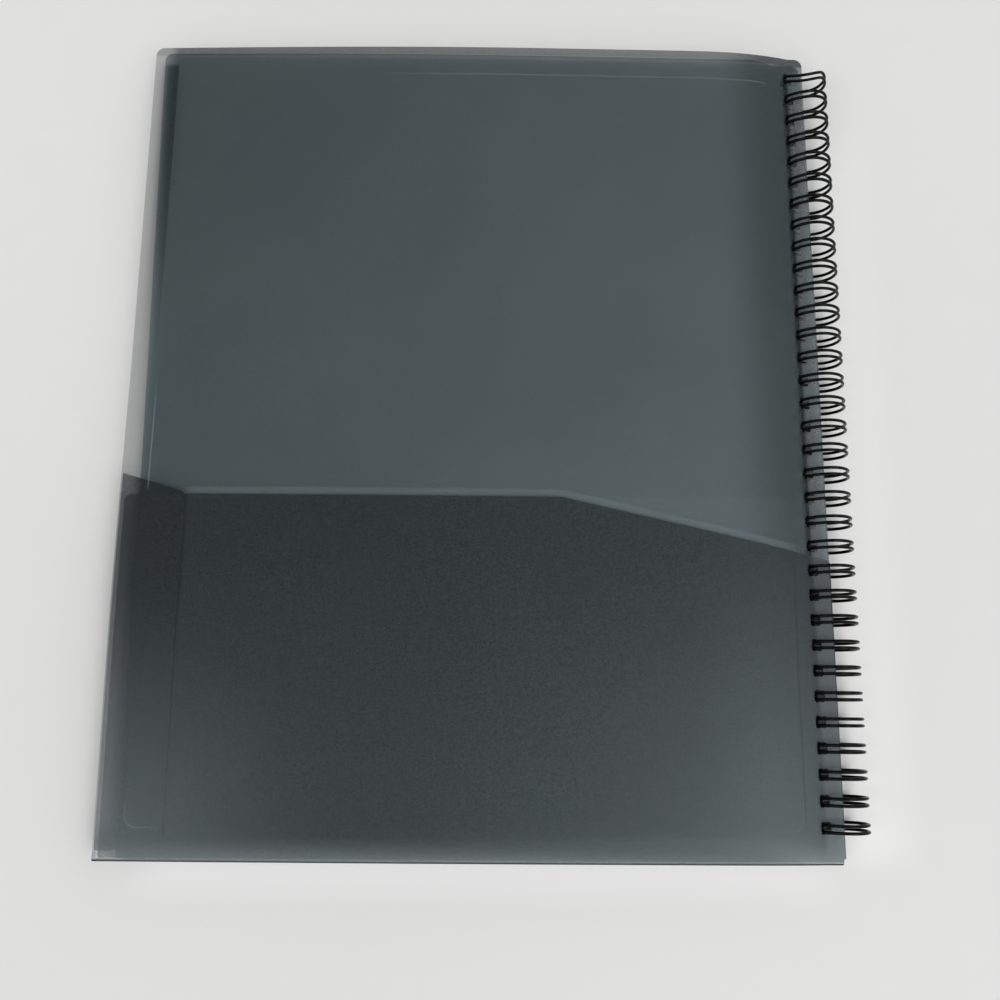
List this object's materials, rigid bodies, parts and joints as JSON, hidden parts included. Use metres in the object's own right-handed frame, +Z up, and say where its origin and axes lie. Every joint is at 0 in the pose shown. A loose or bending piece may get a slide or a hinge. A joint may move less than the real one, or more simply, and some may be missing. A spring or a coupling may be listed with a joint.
{
  "type": "spiral pocket portfolio",
  "caption": "Letter-size pocket portfolio with translucent smoke plastic covers and pocketed dividers, bound along one side by a black twin-loop wire.",
  "frame": {"origin": "under the middle of the closed portfolio, on the surface it lies on", "axes": "+Y towards the top of the product, +X towards the wire binding, +Z up, with the front cover down and the back cover up"},
  "size_m": [0.2522, 0.291, 0.0161],
  "materials": {
    "cover_plastic": "translucent smoke-grey polypropylene with a fine matte grain",
    "pocket_plastic": "translucent smoke-grey polypropylene, one more layer deep",
    "divider_plastic": "thinner translucent smoke-grey polypropylene",
    "coated_wire": "gloss black coated steel wire"
  },
  "bodies": {
    "front_cover_leaf": {"front_cover": "cover_plastic", "front_pocket": "pocket_plastic", "front_pocket_tab": "pocket_plastic"},
    "divider_1_leaf": {"divider_1": "divider_plastic", "divider_1_front_pocket": "divider_plastic", "divider_1_back_pocket": "divider_plastic"},
    "divider_2_leaf": {"divider_2": "divider_plastic", "divider_2_front_pocket": "divider_plastic", "divider_2_back_pocket": "divider_plastic"},
    "divider_3_leaf": {"divider_3": "divider_plastic", "divider_3_front_pocket": "divider_plastic", "divider_3_back_pocket": "divider_plastic"},
    "wire": {"twin_loop_wire": "coated_wire"},
    "back_cover_leaf": {"back_cover": "cover_plastic", "back_pocket": "pocket_plastic", "back_pocket_tab": "pocket_plastic"}
  },
  "joints": [
    {"name": "turn_divider_1", "type": "hinge", "parent": "front_cover_leaf", "child": "divider_1_leaf", "pos_m": [0.11798, 0, 0.00815], "axis": [0, 1, 0], "range_deg": [0, 180]},
    {"name": "turn_divider_2", "type": "hinge", "parent": "divider_1_leaf", "child": "divider_2_leaf", "pos_m": [0.11798, 0, 0.00815], "axis": [0, 1, 0], "range_deg": [0, 180]},
    {"name": "turn_divider_3", "type": "hinge", "parent": "divider_2_leaf", "child": "divider_3_leaf", "pos_m": [0.11798, 0, 0.00815], "axis": [0, 1, 0], "range_deg": [0, 180]},
    {"name": "turn_wire", "type": "hinge", "parent": "divider_3_leaf", "child": "wire", "pos_m": [0.11798, 0, 0.00815], "axis": [0, 1, 0], "range_deg": [0, 180]},
    {"name": "turn_back_cover", "type": "hinge", "parent": "wire", "child": "back_cover_leaf", "pos_m": [0.11798, 0, 0.00815], "axis": [0, 1, 0], "range_deg": [0, 180]}
  ]
}
